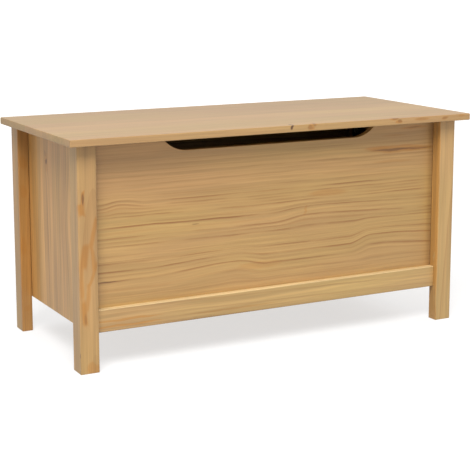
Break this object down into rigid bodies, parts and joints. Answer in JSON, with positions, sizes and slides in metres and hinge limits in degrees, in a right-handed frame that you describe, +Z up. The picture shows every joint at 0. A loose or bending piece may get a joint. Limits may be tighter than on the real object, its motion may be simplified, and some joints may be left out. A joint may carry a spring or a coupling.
{
  "type": "wooden toy box",
  "caption": "Pine toy box on legs with a finger slot in the front panel, a lower front rail and a hinged lid held open by friction stays.",
  "frame": {"origin": "on the floor under the middle of the closed lid's outline", "axes": "+X runs along the front to the right as seen from the front, -Y is the front with the finger slot, +Y the hinged back, +Z is up"},
  "size_m": [0.9, 0.4, 0.45],
  "materials": {
    "lid_pine": "clear matt varnish, pale, grain along the width",
    "panel_pine": "clear matt varnish, golden, grain along the width",
    "leg_pine": "clear matt varnish, golden, grain along the piece",
    "side_pine": "clear matt varnish, brown-tinted, grain upright",
    "inner_pine": "planed, thin clear varnish",
    "beech": "plain turned beech",
    "zinc_plated_steel": "bright zinc plate",
    "black_steel": "satin black lacquer"
  },
  "bodies": {
    "carcass": {"front_left_post": "leg_pine", "front_right_post": "leg_pine", "back_left_leg": "leg_pine", "back_right_leg": "leg_pine", "front_rail": "leg_pine", "front_panel": "panel_pine", "back_panel": "panel_pine", "left_side_panel": "side_pine", "right_side_panel": "side_pine", "bottom_board": "inner_pine", "front_cleat": "inner_pine", "back_cleat": "inner_pine", "left_cleat": "inner_pine", "right_cleat": "inner_pine", "front_left_lower_dowel": "beech", "front_left_upper_dowel": "beech", "front_right_lower_dowel": "beech", "front_right_upper_dowel": "beech", "back_left_lower_dowel": "beech", "back_left_upper_dowel": "beech", "back_right_lower_dowel": "beech", "back_right_upper_dowel": "beech", "left_hinge_box_leaf": "zinc_plated_steel", "left_hinge_pin": "zinc_plated_steel", "left_hinge_box_screw_1": "zinc_plated_steel", "left_hinge_box_screw_2": "zinc_plated_steel", "left_stay_pivot_bolt": "zinc_plated_steel", "left_stay_plate_screw_1": "zinc_plated_steel", "left_stay_plate_screw_2": "zinc_plated_steel", "right_hinge_box_leaf": "zinc_plated_steel", "right_hinge_pin": "zinc_plated_steel", "right_hinge_box_screw_1": "zinc_plated_steel", "right_hinge_box_screw_2": "zinc_plated_steel", "right_stay_pivot_bolt": "zinc_plated_steel", "right_stay_plate_screw_1": "zinc_plated_steel", "right_stay_plate_screw_2": "zinc_plated_steel", "left_stay_plate": "black_steel", "right_stay_plate": "black_steel"},
    "lid": {"lid": "lid_pine", "left_hinge_lid_leaf": "zinc_plated_steel", "left_hinge_lid_screw_1": "zinc_plated_steel", "left_hinge_lid_screw_2": "zinc_plated_steel", "left_stay_lid_bracket": "black_steel", "left_stay_bracket_screw_1": "zinc_plated_steel", "left_stay_bracket_screw_2": "zinc_plated_steel", "left_stay_lid_rivet": "zinc_plated_steel", "right_hinge_lid_leaf": "zinc_plated_steel", "right_hinge_lid_screw_1": "zinc_plated_steel", "right_hinge_lid_screw_2": "zinc_plated_steel", "right_stay_lid_bracket": "black_steel", "right_stay_bracket_screw_1": "zinc_plated_steel", "right_stay_bracket_screw_2": "zinc_plated_steel", "right_stay_lid_rivet": "zinc_plated_steel"},
    "left_stay_arm": {"left_stay_arm": "black_steel", "left_stay_elbow_rivet": "zinc_plated_steel"},
    "left_stay_link": {"left_stay_link": "black_steel"},
    "right_stay_arm": {"right_stay_arm": "black_steel", "right_stay_elbow_rivet": "zinc_plated_steel"},
    "right_stay_link": {"right_stay_link": "black_steel"}
  },
  "joints": [
    {"name": "lid_hinge", "type": "hinge", "parent": "carcass", "child": "lid", "pos_m": [0, 0.19775, 0.43375], "axis": [-1, 0, 0], "range_deg": [0, 90]},
    {"name": "left_stay_arm_pivot", "type": "hinge", "parent": "carcass", "child": "left_stay_arm", "pos_m": [-0.38775, 0.13775, 0.37875], "axis": [-1, 0, 0], "range_deg": [0, 90]},
    {"name": "left_stay_elbow", "type": "hinge", "parent": "left_stay_arm", "child": "left_stay_link", "pos_m": [-0.38775, -0.06225, 0.36475], "axis": [-1, 0, 0], "range_deg": [-90, 0]},
    {"name": "right_stay_arm_pivot", "type": "hinge", "parent": "carcass", "child": "right_stay_arm", "pos_m": [0.38775, 0.13775, 0.37875], "axis": [-1, 0, 0], "range_deg": [0, 90]},
    {"name": "right_stay_elbow", "type": "hinge", "parent": "right_stay_arm", "child": "right_stay_link", "pos_m": [0.38775, -0.06225, 0.36475], "axis": [-1, 0, 0], "range_deg": [-90, 0]}
  ],
  "couplings": [
    {"joint": "left_stay_arm_pivot", "follows": "lid_hinge", "ratio": 1},
    {"joint": "left_stay_elbow", "follows": "lid_hinge", "ratio": -1},
    {"joint": "right_stay_arm_pivot", "follows": "lid_hinge", "ratio": 1},
    {"joint": "right_stay_elbow", "follows": "lid_hinge", "ratio": -1}
  ]
}
